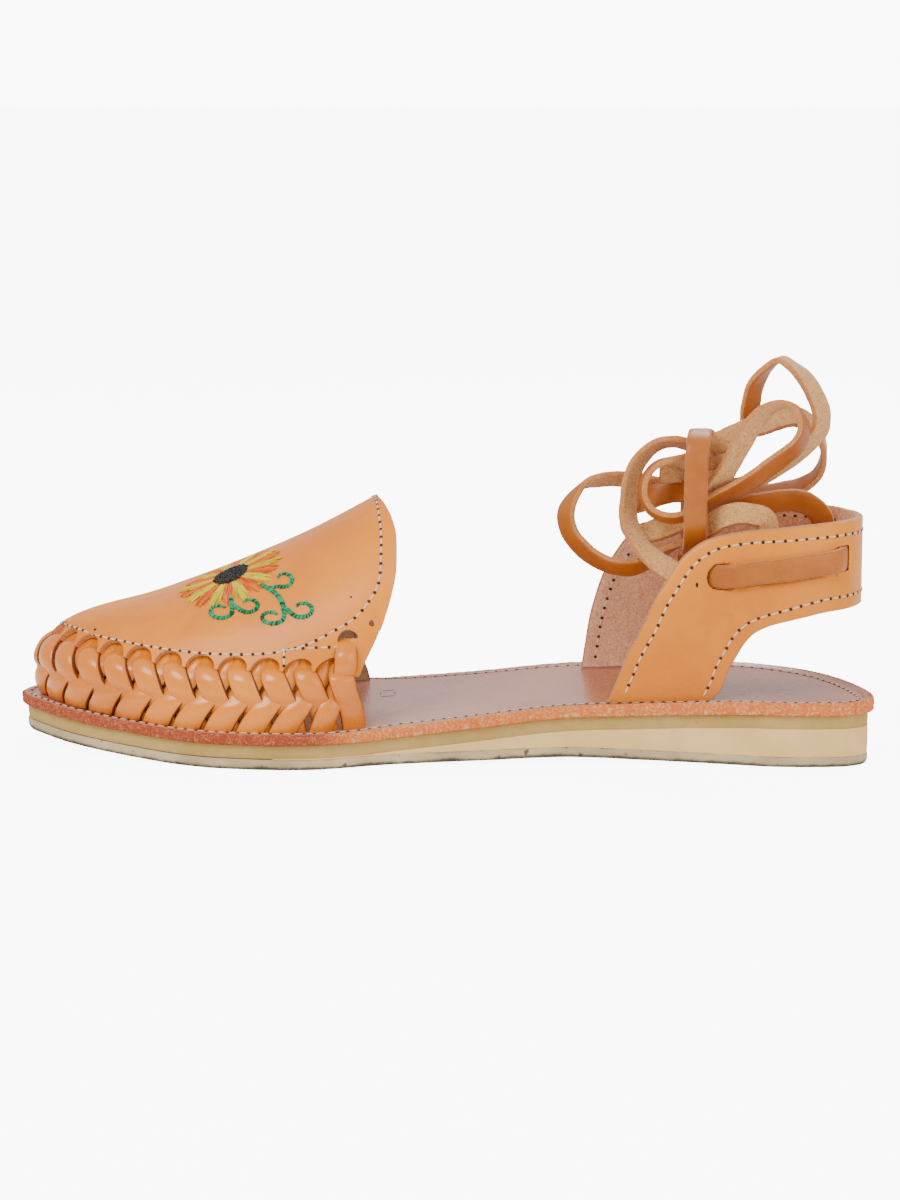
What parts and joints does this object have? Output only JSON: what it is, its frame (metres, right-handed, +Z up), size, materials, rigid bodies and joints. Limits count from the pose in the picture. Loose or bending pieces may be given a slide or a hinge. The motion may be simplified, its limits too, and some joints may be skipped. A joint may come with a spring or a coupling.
{
  "type": "huarache sandal",
  "caption": "Left leather huarache sandal with a closed vamp over a plaited wall, a heel band and a flat lace wound up over the heel.",
  "frame": {"origin": "floor level under the middle of the sandal's length and width", "axes": "+Z up, +X from toe to heel, -Y towards the outer side of the left foot"},
  "size_m": [0.247, 0.0882, 0.1122],
  "materials": {
    "outsole": "matt, speckled",
    "wedge": "matt, cream",
    "midsole": "matt, tan",
    "insole": "polished, with a raw edge",
    "leather": "smooth, waxed",
    "lace": "smooth on one side, rough on the other"
  },
  "bodies": {
    "root": {"outsole": "outsole", "heel_wedge": "wedge", "midsole": "midsole", "insole": "insole", "vamp": "leather", "woven_wall": "leather", "heel_band": "leather", "lace_threaded": "lace", "lace_knot": "lace", "lace_outer_lead": "lace", "lace_outer_loop": "lace", "lace_outer_end": "lace", "lace_inner_lead": "lace", "lace_small_arc": "lace", "lace_rear_drop": "lace", "lace_front_ring": "lace", "lace_rear_loop": "lace", "lace_front_loop": "lace", "lace_inner_end": "lace"}
  },
  "joints": []
}
